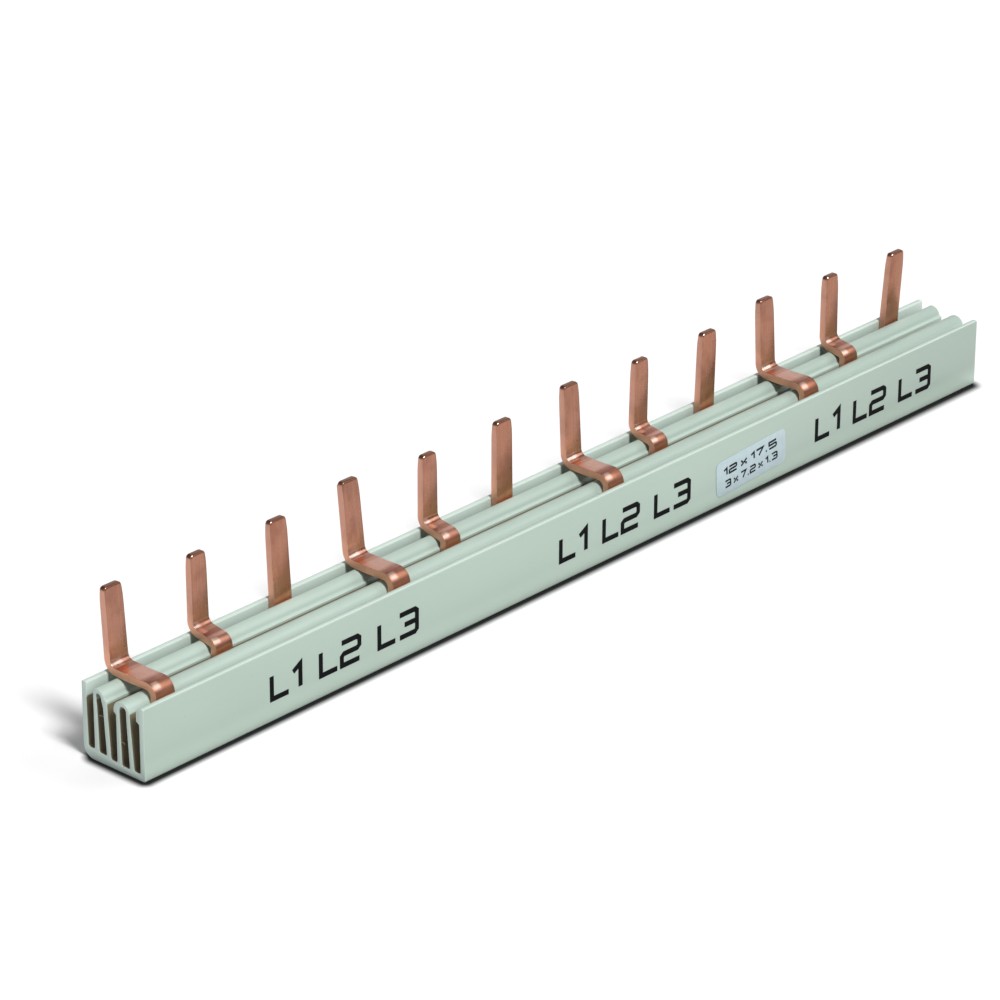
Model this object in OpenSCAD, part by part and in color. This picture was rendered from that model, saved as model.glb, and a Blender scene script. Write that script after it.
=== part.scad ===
// Three-phase comb busbar for twelve modular devices, in millimetres.
// X runs along the length, Y runs from the front face to the rear face, Z is up.
// The origin is the centre of the profile's flat underside.
// Sections are drawn with y measured from the front face and z from the underside,
// and outlines seen from the front with x measured from the left end.

/* [Length and tabs] */
// Distance from one tab to the next, one module
tab_pitch = 17.5; // [14:0.1:30]
// Number of tabs in the row; the profile is as long as this many modules
tab_count = 12; // [9:1:12]
// Distance from the left end to the centre of the first tab
first_tab_x = 6.4; // [6:0.1:11]
// Width of a tab where it leaves the bar
tab_root_w = 4; // [2.5:0.1:6]
// Width of a tab at its tip
tab_tip_w = 3.7; // [2.1:0.1:5]
// How much narrower the middle comb's tabs are
middle_tab_trim = 0.4; // [0:0.1:0.5]
// Corner radius of the tab tips
tip_r = 0.75; // [0.1:0.05:0.8]

/* [Tab heights] */
// Height of the tips of the long-armed tabs above the underside
long_tip_z = 27.2; // [20:0.1:40]
// Height of the tips of the short-armed tabs
short_tip_z = 26.6; // [20:0.1:40]
// Height of the tips of the straight tabs
straight_tip_z = 26.6; // [20:0.1:40]

/* [Copper bars] */
// Thickness of the copper
copper_t = 1.3; // [0.8:0.05:1.6]
// Gap between the foot of each bar and the floor of the rear channel
bar_floor_gap = 0.45; // [0.4:0.05:4]
// Distance from each end of the profile to the end of the bars
bar_end_gap = 4; // [1:0.1:4.3]
// Fillet radius between a bar's top edge and its tabs
root_fillet_r = 0.5; // [0.1:0.05:1]
// Clearance between the copper and the channel that holds it
bar_clearance = 0.05; // [0.02:0.01:0.1]

/* [Bends] */
// Inside radius of the lower bend of a long arm
long_bend_r = 1; // [0.5:0.05:1.3]
// Inside radius of the lower bend of a short arm
short_bend_r = 0.55; // [0.4:0.05:0.8]
// Inside radius of the bend from an arm into its upright
upright_bend_r = 1.2; // [0.3:0.05:1.6]
// Gap between the rear rib's top and the underside of the arms
arm_gap = 0.25; // [0.1:0.05:1]
// Sag of the long arms, as the turn along the arm in degrees
arm_sag = 6; // [0:0.5:10]
// Rise of the short arms towards the rear, in degrees
short_arm_rise = 10; // [4:0.5:15]

/* [Profile] */
// Height of the front wall above the channels
front_wall_rise = 2.5; // [1.6:0.1:2.8]
// Height of the rear wall above the channels
rear_wall_rise = 3; // [2.2:0.1:3.1]
// Thickness of the front wall
front_wall_t = 1; // [0.7:0.05:1.3]
// Thickness of the rear wall
rear_wall_t = 0.95; // [0.5:0.05:1.1]
// Height of the floor of the front channel
front_floor_z = 1.15; // [0.8:0.05:1.8]
// Height of the floor of the middle channel
middle_floor_z = 1.35; // [0.8:0.05:1.8]
// Height of the floor of the rear channel
rear_floor_z = 1.95; // [1.6:0.05:2.1]
// Radius of the rear bottom edge
rear_edge_r = 2.1; // [1:0.1:3]
// Radius of the profile's other outer edges
small_edge_r = 0.3; // [0.1:0.05:0.35]
// Radius of the corners at the bottom of each channel
channel_corner_r = 0.4; // [0.1:0.05:0.5]

/* [Ribs and lips] */
// Height where the channels end and the lips start
lip_z = 10; // [8:0.1:12]
// Play between the foot of the front bar and the front wall
front_play = 0.12; // [0.05:0.01:0.3]
// Play between the foot of the middle bar and the front rib
middle_play = 0.1; // [0.05:0.01:0.3]
// How far the rear wall's lip stands in over the rear channel
rear_lip = 0.15; // [0.1:0.05:0.5]
// Width of the flat along the top of the front wall
front_lip_flat = 0.15; // [0.05:0.05:0.6]
// Width of the front rib at its crown
front_rib_w = 3.55; // [3.3:0.05:4]
// Width of the rear rib
rear_rib_w = 3.1; // [2.9:0.05:4]
// Height above the channels where the front rib's round crown starts
front_crown_rise = 0.42; // [0.1:0.02:1]
// Height of the rear rib above the channels
rear_rib_rise = 2.65; // [2.2:0.05:3]
// Radius of the rear rib's crown towards the rear
rear_crown_back_r = 0.9; // [0.5:0.05:1]
// Width of the ledge beside the rear rib's crown
ledge_w = 0.5; // [0.3:0.05:0.7]
// Height of the ledge above the channels
ledge_rise = 1.1; // [0.6:0.05:1.2]
// Lean of the front bar and of the rib wall behind it, in degrees
front_lean = 4.5; // [0:0.5:5]
// Lean of the middle bar and of the rib wall behind it, in degrees
middle_lean = 3.5; // [0:0.5:3.5]
// Thickness of the walls around the ribs' hollows
rib_wall = 0.8; // [0.6:0.05:1.1]
// Thickness of the rear rib's front wall
rear_rib_front_wall = 0.95; // [0.7:0.05:1.2]
// Radius of the rounded top of the rear rib's hollow
rear_hollow_r = 0.55; // [0.3:0.05:0.6]

/* [Label] */
// Width of the sticker on the front face
label_w = 18.8; // [10:0.1:30]
// Height of the sticker
label_h = 6.6; // [4:0.1:8]
// Distance from the left end to the centre of the sticker
label_x = 145.2; // [60:0.1:180]
// Height of the sticker's centre
label_z = 5.5; // [4.5:0.1:7.5]
// Turn of the sticker on the face, in degrees
label_turn = 3.2; // [-5:0.1:5]
// Corner radius of the sticker
label_r = 1.2; // [0.4:0.1:2]
// Thickness of the sticker
label_t = 0.12; // [0.08:0.01:0.3]

/* [Hidden] */

phases = 3;
profile_len = tab_count * tab_pitch;
mouth = copper_t + 2 * bar_clearance;

// Each bar leans in its channel and turns upright just below the lips
bar_turn_r = 4;
lip_slope = 0.4;
bar_top_z = lip_z - lip_slope;
bar_h = bar_top_z - rear_floor_z - bar_floor_gap;
bar_lean = [front_lean, middle_lean, 0];
foot_shift = [for (a = bar_lean) bar_h * tan(a) + bar_turn_r * (1 - cos(a))];

// The lips stand in over the channels by as much as the bars lean below them
front_lip = foot_shift[0] + front_play - bar_clearance;
middle_lip = foot_shift[1] + middle_play - bar_clearance;
front_lip_r = front_wall_t + front_lip - small_edge_r - front_lip_flat;

// Places across the section, from the front face to the rear face
front_mouth_y = front_wall_t + front_lip;
front_rib_y = front_mouth_y + mouth;
middle_mouth_y = front_rib_y + front_rib_w;
rear_rib_y = middle_mouth_y + mouth;
rear_mouth_y = rear_rib_y + rear_rib_w;
rear_lip_y = rear_mouth_y + mouth;
profile_depth = rear_lip_y + rear_lip + rear_wall_t;

bar_y = [for (y = [front_mouth_y, middle_mouth_y, rear_mouth_y]) y + mouth / 2];

// Heights of the walls and ribs, and the rear rib's crown
front_wall_h = lip_z + front_wall_rise;
rear_wall_h = lip_z + rear_wall_rise;
front_rib_h = lip_z + front_crown_rise + front_rib_w / 2;
rear_rib_h = lip_z + rear_rib_rise;
crown_y = rear_mouth_y - rear_crown_back_r;
crown_end = 15;
ledge_edge = 0.1;
rear_crown_r = (rear_rib_w - rear_crown_back_r - ledge_w) / cos(crown_end);

// Floor, corners and leaning sides of the hollows
rear_hollow_z = 1.7;
hollow_corner_r = 0.3;
front_hollow_lean = front_lean * 0.7;
hollow_back_lean = 1.5;
rear_hollow_shift = 0.25;

// The arms pass over the rear rib, and the uprights stand behind its crown
arm_z = rear_rib_h + arm_gap + copper_t / 2;
half_sag = arm_sag / 2;

// The straight tabs start their lean at the rear wall's top
straight_turn_r = 6;
straight_turn_z = rear_wall_h - 0.2;
// The tips are cut level, so each strip runs a little past its cut
tip_overrun = 0.3;

// Lean of each tab's upright towards the rear, from left to right, in degrees, as bent
tab_leans = [3.8, 1.1, 3.2, 6, 0.4, 0.5, 3.3, -0.8, -1.5, 3.1, 0.4, -3.9];
// Place of each bent upright's foot behind the rear bar, as bent
foot_offsets = [0.7, 0.65, 0, 0.6, 0.6, 0, 0.1, 0.2, 0, 0.55, 0.2, 0];
// Height of each tip above or below its comb's tip height, as bent
tip_offsets = [0, 0, -0.1, -0.1, -0.4, 0.1, 0.3, 0.2, 0.1, 0, 0.1, -0.2];

// Points of an arc about centre c, from angle a0 to angle a1
function arc(c, r, a0, a1, n = 6) =
    [for (i = [0:n]) c + r * [cos(a0 + (a1 - a0) * i / n), sin(a0 + (a1 - a0) * i / n)]];

// One step of length l along a path, from the place and heading s, while turning by d degrees
function one_step(s, l, d) =
    let (chord = d == 0 ? l : l * sin(d / 2) / (d * PI / 360))
    [s[0] + chord * [cos(s[1] + d / 2), sin(s[1] + d / 2)], s[1] + d];

// The n places and headings that follow s on an arc made of n equal steps
function steps(s, l, d, n) =
    n == 0 ? [] : let (e = one_step(s, l, d)) concat([e], steps(e, l, d, n - 1));

// Places and headings along a path of [length, turn] moves that starts at s
function trail(s, moves, i = 0) =
    i == len(moves) ? [] :
    let (n = moves[i][1] == 0 ? 1 : ceil(abs(moves[i][1]) / 10),
         part = steps(s, moves[i][0] / n, moves[i][1] / n, n))
    concat(part, trail(part[n - 1], moves, i + 1));

// A turn by d degrees on a centre line of radius r
function bend(r, d) = [r * abs(d) * PI / 180, d];

// Outline of a strip of thickness t along a path
function strip(path, t) =
    concat([for (s = path) s[0] + t / 2 * [-sin(s[1]), cos(s[1])]],
           [for (i = [len(path) - 1:-1:0]) path[i][0] - t / 2 * [-sin(path[i][1]), cos(path[i][1])]]);

// Bottom edge of the bar of phase p: its place and its heading
function bar_start(p) =
    let (a = bar_lean[p])
    [[bar_y[p] - foot_shift[p], bar_top_z - bar_h], 90 - a];

// The bar itself, and the turn that brings its tabs upright
function bar_moves(p) = [[bar_h / cos(bar_lean[p]), 0]];
function upright_moves(p) = bar_lean[p] == 0 ? [] : [bend(bar_turn_r, bar_lean[p])];
function turn_top_z(p) = bar_top_z + bar_turn_r * sin(bar_lean[p]);

// Centre line radius of a bend with inside radius r
function middle_r(r) = r + copper_t / 2;

// Length of an arc that turns by d degrees over a straight distance
function arc_over(distance, d) = d == 0 ? distance : distance * (d * PI / 360) / sin(d / 2);

// Tab of the front comb: up, convex bend, sagging arm, concave bend, and upright at foot_y
function long_tab(foot_y, lean, top_z) =
    let (r1 = middle_r(long_bend_r),
         r2 = middle_r(upright_bend_r),
         rise_z = arm_z - r1,
         over = 90 + half_sag,
         up = 90 - half_sag - lean,
         arm_start_y = bar_y[0] + r1 * (1 - cos(over)),
         bend_run = r2 * (cos(lean) - sin(half_sag)),
         arm_run = foot_y - arm_start_y - bend_run,
         foot_z = rise_z + r1 * sin(over) + r2 * (cos(half_sag) - sin(lean)))
    [[rise_z - turn_top_z(0), 0], bend(r1, -over), [arc_over(arm_run, arm_sag), arm_sag],
     bend(r2, up), [(top_z - foot_z) / cos(lean) + tip_overrun, 0]];

// Tab of the middle comb: up, tight bend, short rising arm over the rear rib, and upright
function short_tab(foot_y, lean, top_z) =
    let (r1 = middle_r(short_bend_r),
         r2 = middle_r(upright_bend_r),
         rise = short_arm_rise,
         up = 90 - rise - lean,
         arm_start_y = bar_y[1] + r1 * (1 - sin(rise)),
         crown_mid_z = rear_rib_h + arm_gap / 2 + copper_t / 2 / cos(rise),
         arm_start_z = crown_mid_z - (crown_y - arm_start_y) * tan(rise),
         rise_z = arm_start_z - r1 * cos(rise),
         arm_run = foot_y - arm_start_y - r2 * (cos(lean) - sin(rise)),
         foot_z = arm_start_z + arm_run * tan(rise) + r2 * (cos(rise) - sin(lean)))
    [[rise_z - turn_top_z(1), 0], bend(r1, rise - 90), [arm_run / cos(rise), 0],
     bend(r2, up), [(top_z - foot_z) / cos(lean) + tip_overrun, 0]];

// Tab of the rear comb: straight up past the rear wall, then at its own slight lean
function straight_tab(lean, top_z) =
    let (foot_z = straight_turn_z + straight_turn_r * sin(abs(lean)))
    [[straight_turn_z - turn_top_z(2), 0], bend(straight_turn_r, -lean),
     [(top_z - foot_z) / cos(lean) + tip_overrun, 0]];

// Height of the tip of tab i, which belongs to phase p
function tip_z(p, i) = [long_tip_z, short_tip_z, straight_tip_z][p] + tip_offsets[i];

// Path of tab i above the bar's turn
function tab_moves(p, i) =
    p == 0 ? long_tab(bar_y[2] + foot_offsets[i], tab_leans[i], tip_z(p, i)) :
    p == 1 ? short_tab(bar_y[2] + foot_offsets[i], tab_leans[i], tip_z(p, i)) :
    straight_tab(tab_leans[i], tip_z(p, i));

// Turns a section drawn in (y, z) into a solid from x0 to x1 in the part's frame
module along_x(x0, x1) {
    translate([x0 - profile_len / 2, -profile_depth / 2, 0])
        rotate([90, 0, 90])
            linear_extrude(height = x1 - x0)
                children();
}

// Turns an outline seen from the front, drawn in (x, z), into a solid of more than full depth
module through_y() {
    margin = 4;
    translate([-profile_len / 2, profile_depth / 2 + margin, 0])
        rotate([90, 0, 0])
            linear_extrude(height = profile_depth + 2 * margin)
                children();
}

// Outline of a tab seen from the front: flared root, tapering sides and rounded tip corners
module tab_outline(x, top_z, trim) {
    root = (tab_root_w - trim) / 2;
    tip = (tab_tip_w - trim) / 2;
    f = root_fillet_r;
    foot_z = bar_top_z - 1;
    polygon(concat(
        [[x - root - f, foot_z], [x + root + f, foot_z]],
        arc([x + root + f, bar_top_z + f], f, 270, 180),
        arc([x + tip - tip_r, top_z - tip_r], tip_r, 0, 90),
        arc([x - tip + tip_r, top_z - tip_r], tip_r, 90, 180),
        arc([x - root - f, bar_top_z + f], f, 0, -90)));
}

// One copper comb: its bar in the channel, and every third tab of the row
module comb(p) {
    start = bar_start(p);
    reach = tab_root_w / 2 + root_fillet_r;
    along_x(bar_end_gap, profile_len - bar_end_gap)
        polygon(strip(concat([start], trail(start, bar_moves(p))), copper_t));
    for (i = [p:phases:tab_count - 1]) {
        x = first_tab_x + i * tab_pitch;
        moves = concat(bar_moves(p), upright_moves(p), tab_moves(p, i));
        intersection() {
            along_x(max(x - reach, bar_end_gap), min(x + reach, profile_len - bar_end_gap))
                polygon(strip(concat([start], trail(start, moves)), copper_t));
            through_y()
                tab_outline(x, tip_z(p, i), p == 1 ? middle_tab_trim : 0);
        }
    }
}

// A rib wall's face at height z: it leans with the bar up to the bar's top, then stands upright
function leaning_face(y, a, z) = y - max(bar_top_z - z, 0) * tan(a);

// Outer outline of the profile's section, with its three channels cut into the top
function profile_outline() =
    let (d = profile_depth,
         e = small_edge_r,
         c = channel_corner_r,
         front_rib_r = front_rib_w / 2,
         front_rib_back_y = middle_mouth_y - middle_lip,
         front_crown_z = front_rib_h - front_rib_r,
         ledge_z = lip_z + ledge_rise,
         middle_floor_y = leaning_face(rear_rib_y, middle_lean, middle_floor_z + c),
         front_floor_y = leaning_face(front_rib_y, front_lean, front_floor_z + c),
         rear_crown_z = rear_rib_h - rear_crown_r)
    concat(
        arc([e, e], e, 180, 270, 3),
        arc([d - rear_edge_r, rear_edge_r], rear_edge_r, 270, 360, 8),
        arc([d - e, rear_wall_h - e], e, 0, 90, 3),
        arc([rear_lip_y + e, rear_wall_h - e], e, 90, 180, 3),
        [[rear_lip_y, lip_z + lip_slope], [d - rear_wall_t, lip_z + lip_slope]],
        arc([rear_lip_y - c, rear_floor_z + c], c, 0, -90, 4),
        arc([rear_mouth_y + c, rear_floor_z + c], c, 270, 180, 4),
        arc([crown_y, rear_rib_h - rear_crown_back_r], rear_crown_back_r, 0, 90),
        arc([crown_y, rear_crown_z], rear_crown_r, 90, 180 - crown_end, 8),
        [[rear_rib_y + ledge_w * 0.7, ledge_z + ledge_edge / 2], [rear_rib_y + ledge_edge, ledge_z],
         [rear_rib_y, ledge_z - ledge_edge], [rear_rib_y, bar_top_z]],
        arc([middle_floor_y - c, middle_floor_z + c], c, 0, -90, 4),
        arc([front_rib_back_y + c, middle_floor_z + c], c, 270, 180, 4),
        [[front_rib_back_y, lip_z - lip_slope], [middle_mouth_y, lip_z]],
        arc([middle_mouth_y - front_rib_r, front_crown_z], front_rib_r, 0, 180, 16),
        [[front_rib_y, bar_top_z]],
        arc([front_floor_y - c, front_floor_z + c], c, 0, -90, 4),
        arc([front_wall_t + c, front_floor_z + c], c, 270, 180, 4),
        [[front_wall_t, lip_z - lip_slope], [front_mouth_y, lip_z]],
        arc([front_mouth_y - front_lip_r, front_wall_h - front_lip_r], front_lip_r, 0, 90),
        arc([e, front_wall_h - e], e, 90, 180, 3));

// Hollow of a rib: flat floor, leaning sides, and a top rounded with radius r
module hollow(front_y, lean, back_y, floor_z, top_y, top_z, r) {
    c = hollow_corner_r;
    low_front_y = leaning_face(front_y, lean, floor_z);
    low_back_y = leaning_face(back_y, hollow_back_lean, floor_z);
    polygon(concat(
        arc([low_front_y + c, floor_z + c], c, 180, 270, 3),
        arc([low_back_y - c, floor_z + c], c, 270, 360, 3),
        [[back_y, bar_top_z]],
        arc([top_y, top_z - r], r, 0, 180, 8),
        [[front_y, bar_top_z]]));
}

// One extruded length with three open channels and two hollow ribs
module insulating_profile() {
    front_y = front_rib_y + rib_wall;
    front_back_y = middle_mouth_y - middle_lip - rib_wall;
    color([0.74, 0.82, 0.76])
        along_x(0, profile_len)
            difference() {
                polygon(profile_outline());
                hollow(front_y, front_hollow_lean, front_back_y, front_floor_z,
                       (front_y + front_back_y) / 2, front_rib_h - rib_wall, (front_back_y - front_y) / 2);
                hollow(rear_rib_y + rear_rib_front_wall, middle_lean, rear_mouth_y - rib_wall,
                       rear_hollow_z, crown_y - rear_hollow_shift, rear_rib_h - rib_wall, rear_hollow_r);
            }
}

module comb_l1() {
    color([0.72, 0.45, 0.33])
        comb(0);
}

module comb_l2() {
    color([0.76, 0.48, 0.35])
        comb(1);
}

module comb_l3() {
    color([0.68, 0.42, 0.31])
        comb(2);
}

// Sticker: a thin rounded rectangle on the front face
module label() {
    w = label_w / 2 - label_r;
    h = label_h / 2 - label_r;
    color([0.8, 0.87, 0.9])
        translate([label_x - profile_len / 2, -profile_depth / 2, label_z])
            rotate([90, -label_turn, 0])
                linear_extrude(height = label_t)
                    polygon(concat(
                        arc([w, -h], label_r, -90, 0),
                        arc([w, h], label_r, 0, 90),
                        arc([-w, h], label_r, 90, 180),
                        arc([-w, -h], label_r, 180, 270)));
}

insulating_profile();
comb_l1();
comb_l2();
comb_l3();
label();
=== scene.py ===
"""Comb busbar: a pale green extruded profile that holds three bent copper combs."""
import math

import bpy
from mathutils import Matrix, Vector


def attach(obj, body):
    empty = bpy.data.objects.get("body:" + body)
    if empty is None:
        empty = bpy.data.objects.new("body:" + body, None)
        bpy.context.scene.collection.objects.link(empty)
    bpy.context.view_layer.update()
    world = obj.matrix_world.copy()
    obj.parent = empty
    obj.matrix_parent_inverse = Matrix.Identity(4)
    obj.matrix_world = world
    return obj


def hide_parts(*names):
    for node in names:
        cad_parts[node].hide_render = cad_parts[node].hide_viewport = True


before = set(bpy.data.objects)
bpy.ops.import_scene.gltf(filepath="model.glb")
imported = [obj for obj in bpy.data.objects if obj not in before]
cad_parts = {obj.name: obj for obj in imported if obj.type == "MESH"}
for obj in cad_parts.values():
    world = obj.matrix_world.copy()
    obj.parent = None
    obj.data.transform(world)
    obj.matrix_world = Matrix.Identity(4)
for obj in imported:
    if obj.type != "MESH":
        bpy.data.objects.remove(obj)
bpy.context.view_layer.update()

MM = 0.001

# Sizes of the part in millimetres and degrees, as in the solids
PITCH, TABS, PHASES = 17.5, 12, 3
FRONT, MIDDLE, REAR = range(PHASES)
LENGTH = PITCH * TABS
DEPTH = 13.599
END_X = LENGTH / 2
FRONT_Y = -DEPTH / 2
FIRST_TAB_X = 6.4
COPPER_T, BAR_H, BAR_END_GAP = 1.3, 7.2, 4.0
ROOT_W, TIP_W, MIDDLE_TRIM, TIP_R = 4.0, 3.7, 0.4, 0.75
LIP_Z, BAR_TOP_Z = 10.0, 9.6
REAR_RIB_H, CROWN_Y = 12.65, 10.199
ARM_GAP, ARM_SAG, SHORT_RISE = 0.25, 6.0, 10.0

# The inside radii of the bends, and the radii along the middle of the strip where it only turns upright
LONG_BEND_R, SHORT_BEND_R, UPRIGHT_BEND_R = 1.0, 0.55, 1.2
BAR_TURN_R, STRAIGHT_TURN_R, STRAIGHT_TURN_Z = 4.0, 6.0, 12.8

# For each comb from the front: the bar's place behind the front face, its lean and the tips' height
BAR_Y = (2.349, 7.299, 11.799)
BAR_LEAN = (4.5, 3.5, 0.0)
TIP_Z = (27.2, 26.6, 26.6)

# For each tab from the left: its lean, and how far its foot and its tip are from their usual places
TAB_LEANS = (3.8, 1.1, 3.2, 6, 0.4, 0.5, 3.3, -0.8, -1.5, 3.1, 0.4, -3.9)
FOOT_OFFSETS = (0.7, 0.65, 0, 0.6, 0.6, 0, 0.1, 0.2, 0, 0.55, 0.2, 0)
TIP_OFFSETS = (0, 0, -0.1, -0.1, -0.4, 0.1, 0.3, 0.2, 0.1, 0, 0.1, -0.2)

# The sticker's size, corners, centre and turn, and the thickness of its film and of ink
LABEL_W, LABEL_H, LABEL_R = 18.8, 6.6, 1.2
LABEL_X, LABEL_Z, LABEL_TURN = 145.2, 5.5, 3.2
LABEL_T, INK_T = 0.095, 0.015

# The sockets of a Mix node that belong to colours
MIX_FACTOR, MIX_A, MIX_B, MIX_RESULT = 0, 6, 7, 2


# Shader maths

class Value:
    """A shader output that takes part in Python sums."""

    def __init__(self, look, socket):
        self.look = look
        self.socket = socket

    def __add__(self, other):
        return self.look.maths("ADD", self, other)

    def __radd__(self, other):
        return self.look.maths("ADD", other, self)

    def __sub__(self, other):
        return self.look.maths("SUBTRACT", self, other)

    def __rsub__(self, other):
        return self.look.maths("SUBTRACT", other, self)

    def __mul__(self, other):
        return self.look.maths("MULTIPLY", self, other)

    def __pow__(self, other):
        return self.look.maths("POWER", self, other)

    def __mod__(self, other):
        return self.look.maths("FLOORED_MODULO", self, other)

    def __gt__(self, other):
        return self.look.maths("GREATER_THAN", self, other)

    def __lt__(self, other):
        return self.look.maths("LESS_THAN", self, other)

    def __abs__(self):
        return self.look.maths("ABSOLUTE", self)

    def at_least(self, low):
        return self.look.maths("MAXIMUM", self, low)

    def fade(self, low, high, start=0.0, end=1.0):
        """A smooth change from start at low to end at high."""
        return self.look.node("MapRange", {"interpolation_type": "SMOOTHSTEP"},
                              {0: self, 1: low, 2: high, 3: start, 4: end})

    def band(self, middle, half, soft):
        """One inside a band about the middle, falling to nothing over a soft edge."""
        return abs(self - middle).fade(half, half + soft, 1.0, 0.0)


class Look:
    """A procedural material built from nodes, with its places in millimetres."""

    def __init__(self, name, **constants):
        self.material = bpy.data.materials.new(name)
        self.material.use_nodes = True
        self.tree = self.material.node_tree
        self.shader = self.tree.nodes["Principled BSDF"]
        for socket, value in constants.items():
            self.shader.inputs[socket.replace("_", " ")].default_value = value
        self.coords = self.node("TexCoord", {}, {}, "Object")
        self.x, self.y, self.z = self.parts(self.place((1, 1, 1)))

    def node(self, kind, settings, values, output=0):
        """Adds a node: its settings first, then the values and links of its sockets."""
        made = self.tree.nodes.new("ShaderNode" + kind)
        for name, value in settings.items():
            setattr(made, name, value)
        for key, value in values.items():
            if isinstance(value, Value):
                self.tree.links.new(value.socket, made.inputs[key])
            else:
                made.inputs[key].default_value = value
        return Value(self, made.outputs[output])

    def maths(self, operation, a, b=0.0):
        return self.node("Math", {"operation": operation}, {0: a, 1: b})

    def parts(self, vector):
        """The three parts of a vector."""
        first = self.node("SeparateXYZ", {}, {"Vector": vector})
        return [Value(self, out) for out in first.socket.node.outputs]

    def place(self, scale, offset=(0, 0, 0)):
        """Object coordinates in millimetres, times a scale for each axis."""
        per_metre = tuple(s / MM for s in scale)
        return self.node("Mapping", {}, {"Vector": self.coords, "Location": offset, "Scale": per_metre})

    def noise(self, scale, offset=(0, 0, 0), detail=3.0, rough=0.5):
        return self.node("TexNoise", {}, {"Vector": self.place(scale, offset), "Scale": 1.0,
                                          "Detail": detail, "Roughness": rough})

    def dots(self, scale, offset, size, soft):
        """Small round spots, one to a cell."""
        cells = self.node("TexVoronoi", {}, {"Vector": self.place(scale, offset), "Scale": 1.0},
                          "Distance")
        return cells.fade(size, size + soft, 1.0, 0.0)

    def facing(self):
        """The three parts of the surface's direction."""
        return self.parts(self.node("NewGeometry", {}, {}, "Normal"))

    def mix(self, factor, a, b):
        """From colour a to colour b."""
        a, b = [c if isinstance(c, Value) else (*c, 1) for c in (a, b)]
        return self.node("Mix", {"data_type": "RGBA"}, {MIX_FACTOR: factor, MIX_A: a, MIX_B: b},
                         MIX_RESULT)

    def bump(self, height, strength, distance):
        return self.node("Bump", {}, {"Height": height, "Strength": strength, "Distance": distance * MM})

    def feed(self, **sockets):
        """Links the values to the shader's sockets and gives the material."""
        for name, value in sockets.items():
            self.tree.links.new(value.socket, self.shader.inputs[name.replace("_", " ")])
        return self.material


def across_tab(x):
    """The distance in millimetres from the middle of the nearest tab, negative to its left."""
    return (x + (END_X - FIRST_TAB_X + PITCH / 2)) % PITCH - PITCH / 2


def green_plastic():
    """Matt extruded plastic with draw lines, specks and sawn ends; light and shade painted on walls,
    channels, crowns and front.
    """
    plain, paler = (0.392, 0.484, 0.428), (0.412, 0.504, 0.446)
    painted_light_through, painted_crown_shade = (0.60, 0.69, 0.64), (0.330, 0.412, 0.362)
    painted_front_shade, painted_foot_light = (0.270, 0.336, 0.290), (0.56, 0.68, 0.59)
    painted_channel_shade, speck, sawn_pale_and_painted_light = (0.170, 0.135, 0.078), (0.24, 0.27, 0.22), (0.50, 0.60, 0.56)
    look = Look("green_plastic", IOR=1.5, Specular_IOR_Level=0.45)
    x, y, z = look.x, look.y, look.z

    # The places that look different
    end_skin, face_skin, wall = 0.06, 0.05, 0.75
    sawn = abs(x) > END_X - end_skin
    outer_front = y < FRONT_Y + face_skin
    between_walls = (abs(x) < END_X - end_skin) * (abs(y) < -FRONT_Y - wall)
    inside = between_walls * z.fade(10.5, 10.8, 1.0, 0.0) * x.fade(45, 95, 1.0, 0.2)
    rear_wall = (y > 5.4) * z.fade(9.8, 12.6)
    front_lip = (y < -5.6) * z.fade(12.0, 12.6)
    crowns = y.band(0.8, 4.2, 0.4) * z.fade(10.8, 11.6)
    foot = outer_front * z.fade(-0.3, 4.4, 1.0, 0.0)
    to_right = x.fade(20, END_X)

    draw_lines = look.noise((0.003, 1.1, 1.1), detail=3)
    clouds = look.noise((0.05, 0.11, 0.11), (7, 3, 1), detail=3)
    grain = look.noise((3.4, 3.4, 3.4), detail=3)
    saw_lines = look.noise((0.01, 0.4, 8), detail=2)
    specks = look.dots((0.30, 0.5, 0.5), (0, 0, 0), size=0.03, soft=0.04)
    specks_here = look.noise((0.04, 0.04, 0.04), (1, 9, 4)).fade(0.5, 0.6)

    tone = (draw_lines * 0.2 + clouds * 0.6 + grain * 0.2).fade(0.38, 0.62)
    colour = look.mix(tone, plain, paler)
    # Painted light: the thin rear wall and front lip are coloured paler, as if light shone through them
    colour = look.mix((rear_wall + front_lip * 0.6) * 0.5, colour, painted_light_through)
    # Painted shade: the rib crowns are darker, more so towards the right
    colour = look.mix(crowns * (x.fade(-80, 0) * 0.42 + 0.35), colour, painted_crown_shade)
    # Painted shade: the front face is darker than the tops, more so towards the right
    colour = look.mix(outer_front * (to_right * 0.36 + 0.49), colour, painted_front_shade)
    # Painted light: the bottom of the front face is lighter, to make up for the floor's painted contact
    # shadow
    colour = look.mix(foot * (to_right * 0.25 + 0.44), colour, painted_foot_light)
    # Painted shade: the channels and hollows are darker and browner below their mouths, less so at the
    # right end
    colour = look.mix(inside * 0.95, colour, painted_channel_shade)
    colour = look.mix(specks * specks_here * 0.4, colour, speck)
    # Sawn ends are paler, partly for the sawn surface and partly as painted light on the end faces
    colour = look.mix(sawn * 0.7, colour, sawn_pale_and_painted_light)
    height = draw_lines * 0.2 + grain * 0.3 + saw_lines * sawn * 0.8
    return look.feed(Base_Color=colour,
                     Roughness=clouds * 0.10 + grain * 0.08 + sawn * 0.15 + inside * 0.2 + 0.33,
                     Normal=look.bump(height, strength=0.25, distance=0.02))


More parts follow.
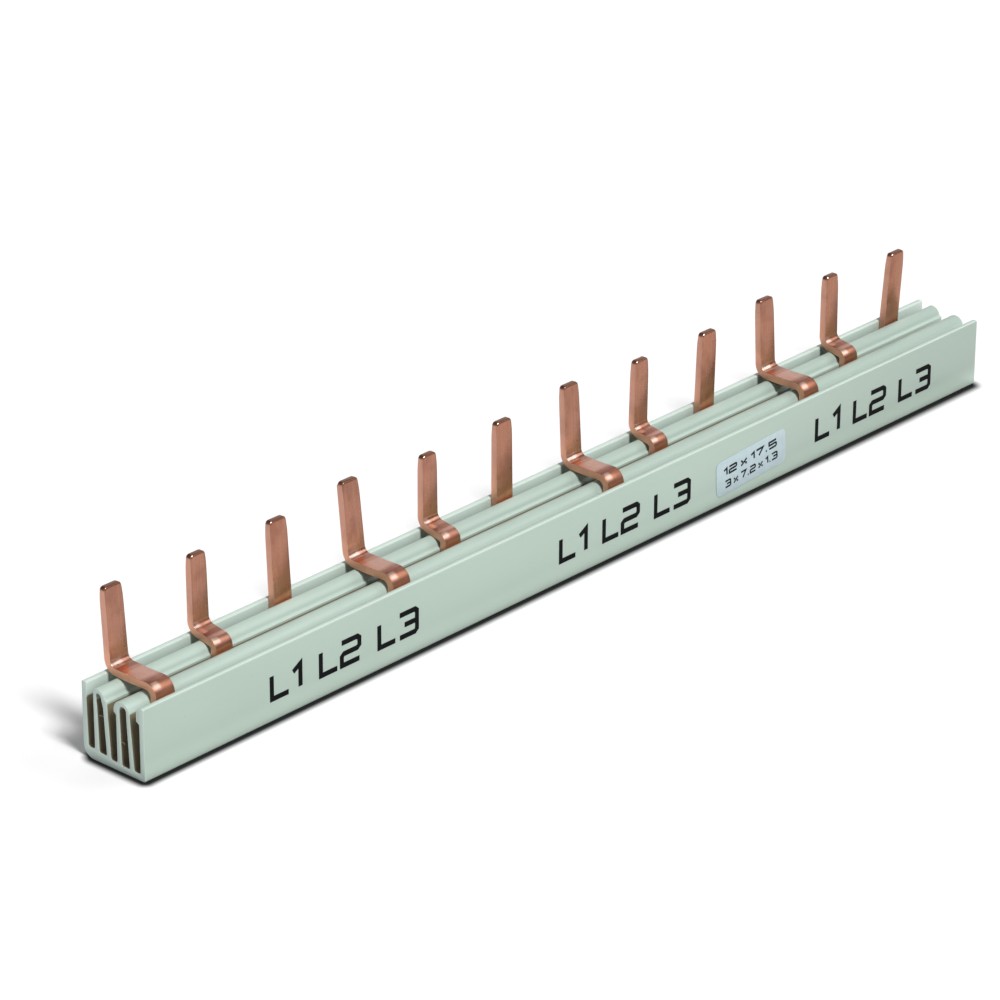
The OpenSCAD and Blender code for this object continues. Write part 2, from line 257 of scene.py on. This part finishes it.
def copper(name, offset, warmth, rubbed, mark_y, highlight_width):
    """Rolled copper strip, tarnished: rolling lines, stains, pits and sheared edges, with painted
    highlights, reflections and shade.
    """
    plain, paler, painted_warm_reflection = (0.396, 0.185, 0.126), (0.455, 0.221, 0.155), (0.95, 0.40, 0.19)
    brown, dull, stain = (0.40, 0.165, 0.085), (0.30, 0.14, 0.09), (0.27, 0.105, 0.072)
    painted_arm_highlight, pressed_mark_and_painted_reflection, painted_bend_shade = (0.62, 0.38, 0.31), (0.20, 0.062, 0.040), (0.34, 0.125, 0.065)
    painted_bend_highlight, shear, pit = (0.92, 0.66, 0.56), (0.66, 0.36, 0.27), (0.10, 0.045, 0.03)
    painted_dark_tip, painted_corner_highlight = (0.14, 0.050, 0.026), (0.95, 0.72, 0.62)
    look = Look(name, IOR=1.45)
    x, y, z = look.x, look.y, look.z
    face_x, face_y, face_z = look.facing()

    rolling = look.noise((3.2, 0.05, 0.05), offset, detail=3, rough=0.6)
    patches = look.noise((0.36, 0.36, 0.25), offset, detail=4, rough=0.62)
    fine = look.noise((2.6, 1.3, 1.3), offset, detail=4)
    stains = patches.fade(0.46, 0.68)
    pits = look.dots((0.55, 0.55, 0.32), offset, size=0.03, soft=0.05) * patches.fade(0.56, 0.62)

    # The tabs' feet get a painted warm reflection of the profile, and tarnish grows to the right and up
    # the tabs
    near_foot = z.fade(14.0, 20.0, 1.0, 0.0) * face_z.fade(-0.2, 0.5, 1.0, 0.0)
    browner = x.fade(-60, END_X) * 0.22 + warmth
    duller = x.fade(50, END_X) * 0.25 + z.fade(21, 26) * (1.2 - rubbed) * 0.25
    colour = look.mix(rolling.fade(0.3, 0.7), plain, paler)
    colour = look.mix(near_foot * 0.8, colour, painted_warm_reflection)
    colour = look.mix(browner, colour, brown)
    colour = look.mix(duller, colour, dull)
    colour = look.mix(stains * 0.4, colour, stain)

    # An arm gets a painted highlight along its middle, and beside each of its bends a darker mark,
    # partly a pressing mark and partly a painted dark reflection
    on_arm = face_z.fade(0.5, 0.85) * z.band(13.6, 1.2, 0.4)
    marks = y.band(mark_y, 0.35, 0.4) * 0.6 + y.band(-2.8, 0.4, 0.4) * 0.7
    colour = look.mix(on_arm * y.band(0.1, 1.4, 0.7) * 0.5, colour, painted_arm_highlight)
    colour = look.mix(on_arm * marks * patches.fade(0.30, 0.52, 0.45, 1.0), colour, pressed_mark_and_painted_reflection)

    # The convex bend gets painted brown shade, and both bends get painted highlights towards their left
    # edge
    across = across_tab(x)
    convex = face_y.band(-0.62, 0.30, 0.12) * (y < 2.3) * z.fade(10.5, 11.5)
    concave = face_y.band(-0.55, 0.35, 0.12) * (y > 2.9) * (z < 16.5)
    crest = convex * face_y.band(-0.55, 0.12, 0.25) * across.band(-1.05, 0.3, 0.7)
    hollow = concave * across.band(-1.2, highlight_width, 0.9)
    colour = look.mix(convex * 0.45, colour, painted_bend_shade)
    colour = look.mix(crest * 0.6 + hollow * 0.55, colour, painted_bend_highlight)

    # Sheared sides are brighter, the top of the cut tip gets a painted dark reflection, and its near
    # corner a painted highlight as strong as rubbed
    sheared_side = abs(face_x).fade(0.55, 0.9)
    at_tip = z > 25.2
    cut_tip = face_z.fade(0.15, 0.5) * at_tip
    near_corner = (face_z * 0.76 - face_x * 0.42 - face_y * 0.50).fade(0.95, 0.99) * at_tip
    colour = look.mix(sheared_side * 0.6, colour, shear)
    colour = look.mix(pits * 0.6, colour, pit)
    colour = look.mix(cut_tip * 0.9, colour, painted_dark_tip)
    colour = look.mix(near_corner * rubbed, colour, painted_corner_highlight)

    metal = 0.95 - stains * 0.12 - sheared_side * 0.1 - cut_tip * 0.2
    rough = rolling * 0.06 + stains * 0.10 + fine * 0.06 + sheared_side * 0.08 + convex * 0.12 + 0.22
    height = rolling * 0.15 + fine * 0.12 + patches * 0.4
    return look.feed(Base_Color=colour, Metallic=metal, Roughness=rough,
                     Normal=look.bump(height, strength=0.25, distance=0.02))


def label_film():
    """Pale satin label film with a faint fibre."""
    plain, paler, worn = (0.365, 0.450, 0.476), (0.394, 0.477, 0.503), (0.36, 0.44, 0.45)
    look = Look("label_film", IOR=1.45, Specular_IOR_Level=0.35)
    fibres = look.noise((1.1, 1.1, 1.1), detail=4)
    rubbed = look.noise((0.25, 0.25, 0.4), (2, 2, 2), detail=3)
    tone = look.mix(fibres.fade(0.35, 0.65), plain, paler)
    colour = look.mix(rubbed.fade(0.5, 0.8) * 0.3, tone, worn)
    return look.feed(Base_Color=colour, Roughness=fibres * 0.1 + rubbed * 0.1 + 0.34,
                     Normal=look.bump(fibres, strength=0.15, distance=0.01))


def ink(name, colour):
    """Printed ink, a little thin in places."""
    thin = (0.08, 0.09, 0.085)
    look = Look(name, IOR=1.45, Specular_IOR_Level=0.05)
    dots = look.noise((4.5, 4.5, 4.5), detail=3)
    return look.feed(Base_Color=look.mix(dots.fade(0.6, 0.85) * 0.12, colour, thin),
                     Roughness=dots * 0.15 + 0.5,
                     Normal=look.bump(dots, strength=0.2, distance=0.005))


# Modelling by hand

def cos(degrees):
    return math.cos(math.radians(degrees))


def sin(degrees):
    return math.sin(math.radians(degrees))


def tan(degrees):
    return math.tan(math.radians(degrees))


def at(x, y, z):
    """A place given in millimetres from the left end, the front face and the underside."""
    return Vector(((x - END_X) * MM, (y + FRONT_Y) * MM, z * MM))


def fresh():
    """Leaves edit mode, with nothing selected."""
    if bpy.context.object and bpy.context.object.mode != "OBJECT":
        bpy.ops.object.mode_set(mode="OBJECT")
    bpy.ops.object.select_all(action="DESELECT")


def choose(*pieces):
    """Makes the pieces the only ones selected, and the first of them active."""
    fresh()
    for piece in pieces:
        piece.select_set(True)
    bpy.context.view_layer.objects.active = pieces[0]


def started(add, size, place=(0, 0, 0), turn=0):
    """Adds a primitive at its size in millimetres, its place and its turn about X."""
    fresh()
    add(size=1, location=place, rotation=(math.radians(turn), 0, 0))
    piece = bpy.context.object
    piece.scale = [s * MM for s in size]
    bpy.ops.object.transform_apply(location=True, rotation=True, scale=True)
    return piece


def edit_all(kind):
    """Goes into edit mode with every corner, edge or face selected."""
    bpy.ops.object.mode_set(mode="EDIT")
    bpy.ops.mesh.select_mode(type=kind)
    bpy.ops.mesh.select_all(action="SELECT")


def close_up():
    """Merges doubled corners of the piece in edit mode and turns its faces outwards."""
    bpy.ops.mesh.select_all(action="SELECT")
    bpy.ops.mesh.remove_doubles(threshold=1e-7)
    bpy.ops.mesh.normals_make_consistent(inside=False)


def pick_edges(piece, test):
    """In edit mode, selects the edges whose two ends pass the test."""
    bpy.ops.mesh.select_mode(type="EDGE")
    bpy.ops.mesh.select_all(action="DESELECT")
    bpy.ops.object.mode_set(mode="OBJECT")
    corners = piece.data.vertices
    for edge in piece.data.edges:
        edge.select = test(*[corners[v].co for v in edge.vertices])
    bpy.ops.object.mode_set(mode="EDIT")


def soften(piece, width, segments, angle=35):
    """Rounds the piece's sharp edges and smooths the rest."""
    rounding = piece.modifiers.new("edges", "BEVEL")
    rounding.width = width * MM
    rounding.segments = segments
    rounding.limit_method = "ANGLE"
    rounding.angle_limit = math.radians(angle)
    choose(piece)
    bpy.ops.object.modifier_apply(modifier="edges")
    bpy.ops.object.shade_smooth_by_angle(angle=math.radians(angle))


def finish_piece(piece, name, material, slot, *stands_for):
    """Names the piece, dresses it and hangs it on the body."""
    piece.name = piece.data.name = name
    piece.data.materials.clear()
    piece.data.materials.append(material)
    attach(piece, "root")
    if stands_for:
        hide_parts(*stands_for)


# The combs. A path is a list of moves, each with a length and a turn in degrees

def bend(radius, turn):
    """A bend about a centre line of this radius, as the length of its arc and its turn."""
    return (radius * math.radians(abs(turn)), turn)


def long_arm(foot, lean, top, start_z):
    """Up from the bar, a convex bend, a sagging arm, a concave bend and the upright."""
    r1 = LONG_BEND_R + COPPER_T / 2
    r2 = UPRIGHT_BEND_R + COPPER_T / 2
    half = ARM_SAG / 2
    rise = REAR_RIB_H + ARM_GAP + COPPER_T / 2 - r1
    start = BAR_Y[FRONT] + r1 * (1 - cos(90 + half))
    run = foot - start - r2 * (cos(lean) - sin(half))
    foot_z = rise + r1 * sin(90 + half) + r2 * (cos(half) - sin(lean))
    arm = run * math.radians(half) / sin(half)
    return [(rise - start_z, 0), bend(r1, -90 - half), (arm, ARM_SAG),
            bend(r2, 90 - half - lean), ((top - foot_z) / cos(lean), 0)]


def short_arm(foot, lean, top, start_z):
    """Up from the bar, a tight bend, a short rising arm over the rear rib and the upright."""
    r1 = SHORT_BEND_R + COPPER_T / 2
    r2 = UPRIGHT_BEND_R + COPPER_T / 2
    rise = SHORT_RISE
    start = BAR_Y[MIDDLE] + r1 * (1 - sin(rise))
    over_crown = REAR_RIB_H + ARM_GAP / 2 + COPPER_T / 2 / cos(rise)
    arm_z = over_crown - (CROWN_Y - start) * tan(rise)
    run = foot - start - r2 * (cos(lean) - sin(rise))
    foot_z = arm_z + run * tan(rise) + r2 * (cos(rise) - sin(lean))
    return [(arm_z - r1 * cos(rise) - start_z, 0), bend(r1, rise - 90), (run / cos(rise), 0),
            bend(r2, 90 - rise - lean), ((top - foot_z) / cos(lean), 0)]


def straight(lean, top, start_z):
    """Straight up past the rear wall, then on at the tab's own slight lean."""
    foot_z = STRAIGHT_TURN_Z + STRAIGHT_TURN_R * sin(abs(lean))
    return [(STRAIGHT_TURN_Z - start_z, 0), bend(STRAIGHT_TURN_R, -lean),
            ((top - foot_z) / cos(lean), 0)]


def follow(place, heading, moves):
    """Pushes and spins the selected end face along the moves."""
    degrees_a_step = 6
    for length, turn in moves:
        if turn == 0:
            step = Vector((0, cos(heading), sin(heading))) * length * MM
            bpy.ops.mesh.extrude_region_move(TRANSFORM_OT_translate={"value": step})
            place = place + step
            continue
        side = 1 if turn > 0 else -1
        radius = length / math.radians(abs(turn)) * MM
        centre = place + Vector((0, -sin(heading), cos(heading))) * side * radius
        steps = max(2, math.ceil(abs(turn) / degrees_a_step))
        # The spin turns a mesh the other way from the heading
        bpy.ops.mesh.spin(steps=steps, angle=-math.radians(turn), center=centre, axis=(1, 0, 0))
        heading += turn
        place = centre + Vector((0, sin(heading), -cos(heading))) * side * radius


def round_corners(tab, top):
    """Rounds the two corners of a tab's square tip."""
    near_top = (top - 0.3) * MM
    pick_edges(tab, lambda a, b: min(a.z, b.z) > near_top and abs(a.x - b.x) < 1e-6)
    bpy.ops.mesh.bevel(offset=TIP_R * MM, segments=6, affect="EDGES")
    bpy.ops.object.mode_set(mode="OBJECT")


def narrow(tab, top, middle_x, width):
    """Tapers a tab evenly from the profile's lip to its tip, and levels the tip."""
    for vertex in tab.data.vertices:
        share = min(max((vertex.co.z / MM - LIP_Z) / (top - LIP_Z), 0), 1)
        narrower = 1 - share * (ROOT_W - TIP_W) / width
        vertex.co.x = middle_x + (vertex.co.x - middle_x) * narrower
        vertex.co.z = min(vertex.co.z, top * MM)


def round_tip_edges(tab, top):
    """Rounds the edges along the tip's outline, front and rear."""
    edge_r, level = 0.34, 0.3
    below_corners = (top - TIP_R - 0.05) * MM
    bpy.ops.object.mode_set(mode="EDIT")
    pick_edges(tab, lambda a, b: min(a.z, b.z) > below_corners and abs(a.y - b.y) < level * MM)
    bpy.ops.mesh.bevel(offset=edge_r * MM, segments=4, affect="EDGES")
    bpy.ops.object.mode_set(mode="OBJECT")


def bent_tab(phase, i):
    """One tab: a flat rectangle taken along the strip's bends, then tapered, with a rounded tip."""
    lean, tab_lean = BAR_LEAN[phase], TAB_LEANS[i]
    top = TIP_Z[phase] + TIP_OFFSETS[i]
    foot = BAR_Y[REAR] + FOOT_OFFSETS[i]
    width = ROOT_W - (MIDDLE_TRIM if phase == MIDDLE else 0)
    in_bar = 3.0
    back = BAR_TURN_R * (1 - cos(lean)) + in_bar * sin(lean)
    place = at(FIRST_TAB_X + i * PITCH, BAR_Y[phase] - back, BAR_TOP_Z - in_bar * cos(lean))
    tab = started(bpy.ops.mesh.primitive_plane_add, (width, COPPER_T, 1), place, -lean)
    start_z = BAR_TOP_Z + BAR_TURN_R * sin(lean)
    if phase == FRONT:
        path = long_arm(foot, tab_lean, top, start_z)
    elif phase == MIDDLE:
        path = short_arm(foot, tab_lean, top, start_z)
    else:
        path = straight(tab_lean, top, start_z)
    upright = [bend(BAR_TURN_R, lean)] if lean else []
    edit_all("FACE")
    follow(place, 90 - lean, [(in_bar, 0)] + upright + path)
    close_up()
    round_corners(tab, top)
    narrow(tab, top, place.x, width)
    round_tip_edges(tab, top)
    soften(tab, 0.2, 3)
    return tab


def bar(phase):
    """The flat bar that joins a comb's tabs, leaning in its channel."""
    lean = BAR_LEAN[phase]
    height = BAR_H / cos(lean)
    back = BAR_TURN_R * (1 - cos(lean)) + height / 2 * sin(lean)
    centre = at(END_X, BAR_Y[phase] - back, BAR_TOP_Z - BAR_H / 2)
    size = (LENGTH - 2 * BAR_END_GAP, COPPER_T, height)
    piece = started(bpy.ops.mesh.primitive_cube_add, size, centre, -lean)
    soften(piece, 0.12, 2)
    return piece


def comb(phase, material):
    """A bar with every third tab of the row."""
    choose(bar(phase), *[bent_tab(phase, i) for i in range(phase, TABS, PHASES)])
    bpy.ops.object.join()
    number = phase + 1
    finish_piece(bpy.context.object, f"copper_comb_{number}", material, "copper", f"comb_l{number}")


# The profile

def extruded_profile(material):
    """The insulating profile, with smooth crowns and its sawn ends a little rounded."""
    weld, flat, sharp, smooth, end_r = 2e-6, 0.5, 60, 28, 0.09
    piece = bpy.data.objects.new("profile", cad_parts["insulating_profile"].data.copy())
    bpy.context.scene.collection.objects.link(piece)
    choose(piece)
    edit_all("VERT")
    bpy.ops.mesh.remove_doubles(threshold=weld)
    bpy.ops.mesh.dissolve_limited(angle_limit=math.radians(flat))
    bpy.ops.mesh.select_mode(type="EDGE")
    bpy.ops.mesh.select_all(action="DESELECT")
    bpy.ops.mesh.edges_select_sharp(sharpness=math.radians(sharp))
    bpy.ops.object.mode_set(mode="OBJECT")
    end = END_X * MM - 1e-6
    corners = piece.data.vertices
    for edge in piece.data.edges:
        edge.select = edge.select and min(abs(corners[v].co.x) for v in edge.vertices) > end
    bpy.ops.object.mode_set(mode="EDIT")
    bpy.ops.mesh.bevel(offset=end_r * MM, segments=2, affect="EDGES", clamp_overlap=True)
    bpy.ops.object.mode_set(mode="OBJECT")
    bpy.ops.object.shade_smooth_by_angle(angle=math.radians(smooth))
    finish_piece(piece, "extruded_profile", material, "insulation", "insulating_profile")


def saw_burr(name, y, z, reach, turn, material):
    """A sliver of plastic that the saw left hanging across a hollow at the left end."""
    thick, tall, depth = 0.10, 0.16, 0.16
    thinning, wave_h, waves, wave_start = 0.6, 0.06, 9, 2
    piece = started(bpy.ops.mesh.primitive_cube_add, (thick, reach, tall))
    edit_all("EDGE")
    bpy.ops.mesh.subdivide(number_cuts=4)
    bpy.ops.object.mode_set(mode="OBJECT")
    for vertex in piece.data.vertices:
        along = vertex.co.y / (reach * MM)
        wave = wave_h * MM * math.sin(waves * along + wave_start)
        vertex.co.z = vertex.co.z * (1 - thinning * abs(along)) + wave
    turned = Matrix.Rotation(math.radians(turn), 4, "X")
    piece.data.transform(Matrix.Translation(at(depth, y, z)) @ turned)
    soften(piece, 0.02, 1)
    finish_piece(piece, name, material, "insulation")


# The sticker and the printing

def on_front(piece, x, z, turn, proud):
    """Stands a piece that was drawn flat on the front face, turned about its own centre."""
    stand = Matrix.Rotation(math.radians(90), 4, "X")
    tilt = Matrix.Rotation(math.radians(-turn), 4, "Y")
    piece.data.transform(Matrix.Translation(at(x, -proud, z)) @ tilt @ stand)


def sticker(material):
    """A small rounded rectangle of film on the front face."""
    piece = started(bpy.ops.mesh.primitive_plane_add, (LABEL_W, LABEL_H, 1))
    edit_all("VERT")
    bpy.ops.mesh.bevel(offset=LABEL_R * MM, segments=10, affect="VERTICES")
    edit_all("FACE")
    bpy.ops.mesh.extrude_region_move(TRANSFORM_OT_translate={"value": (0, 0, LABEL_T * MM)})
    close_up()
    soften(piece, 0.03, 2, 60)
    on_front(piece, LABEL_X, LABEL_Z, LABEL_TURN, 0)
    finish_piece(piece, "sticker", material, "label", "label")


# Wide squared characters, each as its width and its strokes in a unit square
STROKES = {
    "L": (0.92, [[(0, 1), (0, 0), (1, 0)]]),
    "1": (0.40, [[(0, 0.76), (1, 1), (1, 0)]]),
    "2": (1.00, [[(0, 1), (0.88, 1), (1, 0.9), (1, 0.6), (0.88, 0.5), (0.12, 0.5), (0, 0.4),
                  (0, 0), (1, 0)]]),
    "3": (1.00, [[(0, 1), (0.88, 1), (1, 0.9), (1, 0.1), (0.88, 0), (0, 0)],
                 [(0.28, 0.5), (1, 0.5)]]),
    "5": (1.00, [[(1, 1), (0, 1), (0, 0.54), (0.88, 0.54), (1, 0.44), (1, 0.1), (0.88, 0), (0, 0)]]),
    "7": (0.95, [[(0, 1), (1, 1), (0.35, 0)]]),
    "x": (0.80, [[(0, 0), (1, 0.75)], [(0, 0.75), (0.42, 0.43)], [(1, 0), (0.58, 0.32)]]),
    ".": (0.16, [[(0, 0), (1, 0)]]),
}
MARK_GAP, GAP_AFTER_L = 0.34, 0.26


def stroke_outline(path, width):
    """The closed outline of a stroke, mitred at its corners."""
    points = [Vector(p) for p in path]
    sides = []
    for k, point in enumerate(points):
        ahead = (points[k + 1] - point).normalized() if k + 1 < len(points) else None
        behind = (point - points[k - 1]).normalized() if k else None
        along = ((ahead or behind) + (behind or ahead)).normalized()
        reach = width / 2 / along.dot(ahead or behind)
        sides.append((point, Vector((-along.y, along.x)) * reach))
    return [p + off for p, off in sides] + [p - off for p, off in reversed(sides)]


def drawn_stroke(path, width):
    """One stroke of ink, as a flat curve with a little thickness."""
    data = bpy.data.curves.new("stroke", "CURVE")
    data.dimensions = "2D"
    data.fill_mode = "BOTH"
    data.extrude = INK_T / 2 * MM
    spline = data.splines.new("POLY")
    outline = stroke_outline(path, width)
    spline.points.add(len(outline) - 1)
    for point, place in zip(spline.points, outline):
        point.co = (place.x * MM, place.y * MM, 0, 1)
    spline.use_cyclic_u = True
    drawn = bpy.data.objects.new("stroke", data)
    bpy.context.scene.collection.objects.link(drawn)
    return drawn


def printed_row(name, row, space, size, stroke, centre, material, slot, turn=0, proud=0):
    """A row of squared characters in ink, centred on a place on the front face."""
    width, height = size
    starts, reach = [], 0.0
    for mark in row:
        if mark == " ":
            reach += space
        else:
            starts.append((mark, reach))
            reach += STROKES[mark][0] + (GAP_AFTER_L if mark == "L" else MARK_GAP)
    scale = (width - stroke) / (reach - MARK_GAP)
    rise = height - stroke
    strokes = []
    for mark, start in starts:
        wide, paths = STROKES[mark]
        for number, path in enumerate(paths):
            run = [Vector(((start + px * wide) * scale - (width - stroke) / 2, (py - 0.5) * rise))
                   for px, py in path]
            if number:
                # A second stroke ends inside the first one
                run[-1] = run[-1] - (run[-1] - run[-2]).normalized() * stroke / 2
            strokes.append(drawn_stroke(run, stroke))
    choose(*strokes)
    bpy.ops.object.convert(target="MESH")
    bpy.ops.object.join()
    piece = bpy.context.object
    edit_all("VERT")
    close_up()
    bpy.ops.object.mode_set(mode="OBJECT")
    on_front(piece, *centre, turn, proud + INK_T / 2)
    finish_piece(piece, name, material, slot)


def printing():
    """Generic phase marks on the profile, and plain sizes on the sticker."""
    black = ink("print_ink", (0.004, 0.004, 0.005))
    middles_and_widths = ((44.0, 34.0), (112.0, 34.0), (179.75, 33.5))
    for number, (middle, width) in enumerate(middles_and_widths, 1):
        printed_row(f"phase_marks_{number}", "L1 L2 L3", space=0.80, size=(width, 4.9), stroke=0.92,
                    centre=(middle, 5.95), material=black, slot="insulation")
    small = ink("sticker_ink", (0.014, 0.017, 0.02))
    printed_row("sticker_row_1", "12 x 17.5", space=0.30, size=(14.6, 1.6), stroke=0.38,
                centre=(144.9, 6.65), material=small, slot="label", turn=4.8, proud=LABEL_T)
    printed_row("sticker_row_2", "3 x 7.2 x 1.3", space=0.30, size=(14.4, 1.5), stroke=0.33,
                centre=(145.3, 4.25), material=small, slot="label", turn=4.8, proud=LABEL_T)


# The set: a pale floor, soft lights and the camera

def camera():
    """Stands where the photograph was taken from, looking down at the left end and the front."""
    place = (-0.52193, -0.45626, 0.32808)
    ahead = Vector((0.67422, 0.60936, -0.41726))
    rightwards = Vector((0.67155, -0.74095, 0.00304))
    data = bpy.data.cameras.new("camera")
    data.sensor_width = 36
    data.lens = 163.46
    data.clip_start = 0.05
    data.clip_end = 20
    shot = bpy.data.objects.new("camera", data)
    back = -ahead.normalized()
    up = back.cross(rightwards).normalized()
    turn = Matrix((up.cross(back), up, back)).transposed().to_4x4()
    shot.matrix_world = Matrix.Translation(place) @ turn
    bpy.context.scene.collection.objects.link(shot)
    bpy.context.scene.camera = shot


def floor():
    """A white floor, with a painted contact shadow where it meets the part."""
    dark, white = (0.016, 0.016, 0.016), (0.83, 0.83, 0.83)
    dark_to, white_from = 0.45, 2.2
    fresh()
    bpy.ops.mesh.primitive_plane_add(size=6)
    piece = bpy.context.object
    piece.name = "floor"
    look = Look("floor", Roughness=0.9, Specular_IOR_Level=0.0)
    # The painted contact shadow has rounded corners, and stops a little short of the part's rear and
    # right end
    front_r, rear_r, rear_in, right_in = 0.4, 1.6, 0.9, 1.2
    rear = look.y > 0.0
    corner = rear * (rear_r - front_r) + front_r
    over_x = (abs(look.x + right_in / 2) - END_X + right_in / 2 + corner).at_least(0.0)
    over_y = (abs(look.y) + FRONT_Y + rear * rear_in + corner).at_least(0.0)
    tightness = 0.87 - look.x * 0.0013
    away = ((over_x * over_x + over_y * over_y) ** 0.5 - corner) * tightness
    tone = look.mix(away.fade(dark_to, white_from), dark, white)
    piece.data.materials.append(look.feed(Base_Color=tone))


def soft_sun(name, towards, spread, strength):
    """Even light over the whole floor, from the direction given and as wide as the spread in degrees."""
    data = bpy.data.lights.new(name, "SUN")
    data.angle = math.radians(spread)
    data.energy = strength
    lamp = bpy.data.objects.new(name, data)
    lamp.rotation_euler = Vector(towards).to_track_quat("Z", "Y").to_euler()
    bpy.context.scene.collection.objects.link(lamp)


def lights():
    """A soft studio: a high front light, a wide fill at the left, two strips and a dim white room."""
    world = bpy.data.worlds.new("studio")
    world.use_nodes = True
    room = world.node_tree.nodes["Background"]
    room.inputs["Color"].default_value = (1, 1, 1, 1)
    room.inputs["Strength"].default_value = 0.13
    bpy.context.scene.world = world
    # A tall narrow key light: each part of it by its height in degrees and the light it gives the floor
    key = ((42, 0.03), (46.5, 0.12), (51, 0.21), (55.5, 0.22), (60, 0.17), (66, 0.12))
    key_x, key_y = -0.13, -0.99
    for number, (rise, given) in enumerate(key, 1):
        towards = (key_x * cos(rise), key_y * cos(rise), sin(rise))
        soft_sun(f"key_{number}", towards, spread=14, strength=given * math.pi / sin(rise))
    soft_sun("left_fill", (-0.85, -0.12, 0.5), spread=50, strength=0.58)
    soft_sun("right_strip", (0.674, -0.418, 0.61), spread=34, strength=0.7)
    soft_sun("rear_strip", (0.68, 0.55, 0.47), spread=46, strength=0.42)


plastic = green_plastic()
extruded_profile(plastic)
saw_burr("saw_burr_1", y=9.55, z=8.15, reach=1.25, turn=-12, material=plastic)
saw_burr("saw_burr_2", y=4.8, z=5.2, reach=0.9, turn=15, material=plastic)
comb(FRONT, copper("copper_front", (3, 1, 5), warmth=0.0, rubbed=0.2, mark_y=3.3, highlight_width=1.0))
comb(MIDDLE, copper("copper_middle", (8, 1, 5), warmth=0.06, rubbed=1.0, mark_y=2.6, highlight_width=0.1))
comb(REAR, copper("copper_rear", (13, 1, 5), warmth=0.22, rubbed=1.0, mark_y=3.3, highlight_width=0.4))
sticker(label_film())
printing()
floor()
lights()
camera()
bpy.context.scene.view_settings.view_transform = "Standard"
